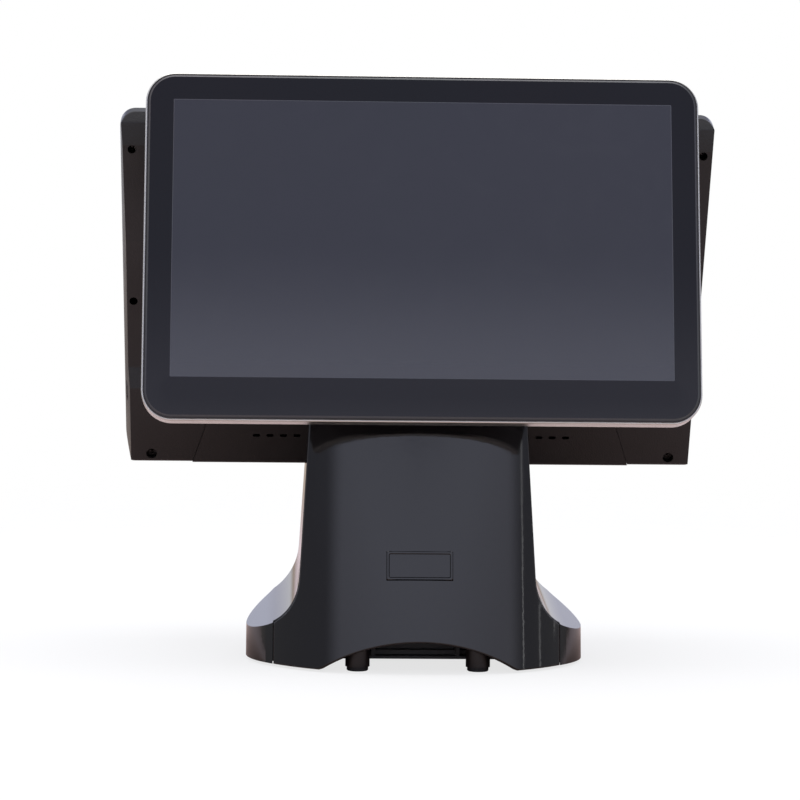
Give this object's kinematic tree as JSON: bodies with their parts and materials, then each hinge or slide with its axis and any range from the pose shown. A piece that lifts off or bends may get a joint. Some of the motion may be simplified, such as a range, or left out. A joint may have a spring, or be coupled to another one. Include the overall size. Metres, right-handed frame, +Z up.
{
  "type": "dual-screen checkout terminal",
  "caption": "Checkout terminal with a wide operator touchscreen and a smaller customer screen back to back on one glossy column with an oval foot.",
  "frame": {"origin": "on the counter, at the middle of the whole object's box seen from above", "axes": "+Z up; the customer stands at -Y and the operator at +Y; +X is to the customer's right"},
  "size_m": [0.427, 0.2265, 0.4133],
  "materials": {
    "gloss_black": "high gloss moulded",
    "satin_black": "fine satin texture",
    "frame_black": "fine satin texture",
    "screen_glass": "polished, black printed border",
    "screen_panel": "dark, switched off",
    "bright_trim": "bright polished",
    "coated_steel": "black powder coat",
    "plain_steel": "zinc plated sheet",
    "bright_steel": "ground",
    "screw_steel": "zinc plated",
    "screw_black": "black oxide",
    "cast_ballast": "raw cast",
    "pad_rubber": "matt",
    "circuit_board": "solder mask",
    "brass_posts": "turned",
    "sink_aluminium": "extruded"
  },
  "bodies": {
    "stand": {"front_panel": "gloss_black", "stand_shell": "gloss_black", "column_back_panel": "satin_black", "column_screws": "screw_steel", "badge_frame": "gloss_black", "badge_plate": "gloss_black", "base_plate": "coated_steel", "base_screws": "screw_steel", "ballast_plate": "cast_ballast", "foot_pads": "pad_rubber", "cable_tunnel": "satin_black", "upright_bracket": "coated_steel", "upright_bolts": "screw_steel", "customer_shaft": "bright_steel", "main_shaft": "bright_steel", "shaft_nuts": "screw_steel", "friction_washers": "bright_steel"},
    "customer_unit": {"customer_leaf": "coated_steel", "customer_leaf_screws": "screw_steel", "customer_glass": "screen_glass", "customer_trim": "bright_trim", "customer_frame": "satin_black", "customer_lcd": "screen_panel", "customer_shell": "satin_black", "customer_board": "circuit_board", "customer_board_posts": "brass_posts", "customer_screws": "screw_black", "customer_gland": "pad_rubber"},
    "operator_unit": {"main_leaf": "coated_steel", "main_leaf_screws": "screw_steel", "main_glass": "screen_glass", "main_frame": "frame_black", "main_lcd": "screen_panel", "main_cover": "satin_black", "port_cover": "satin_black", "corner_screws": "screw_black", "corner_posts": "satin_black", "side_screws": "screw_black", "main_chassis": "plain_steel", "main_board": "circuit_board", "board_posts": "brass_posts", "port_row": "plain_steel", "heat_sink": "sink_aluminium", "fan_housing": "satin_black", "storage_drive": "plain_steel", "memory_module": "circuit_board", "speakers": "satin_black", "button_switch": "satin_black"},
    "fan": {"fan_rotor": "satin_black"},
    "button": {"power_button": "gloss_black"}
  },
  "joints": [
    {"name": "customer_tilt", "type": "hinge", "parent": "stand", "child": "customer_unit", "pos_m": [0, -0.054, 0.25], "axis": [1, 0, 0], "range_deg": [-4, 4]},
    {"name": "main_tilt", "type": "hinge", "parent": "stand", "child": "operator_unit", "pos_m": [0, 0.017, 0.25], "axis": [1, 0, 0], "range_deg": [-14, 2]},
    {"name": "fan_spin", "type": "hinge", "parent": "operator_unit", "child": "fan", "pos_m": [0.07, 0.04877, 0.22946], "axis": [0, 0.9135, 0.4067], "continuous": true},
    {"name": "power_press", "type": "slide", "parent": "operator_unit", "child": "button", "axis": [1, 0, 0], "range_m": [0, 0.0012], "stiffness_N_per_m": 900, "springref_m": -0.0006}
  ]
}
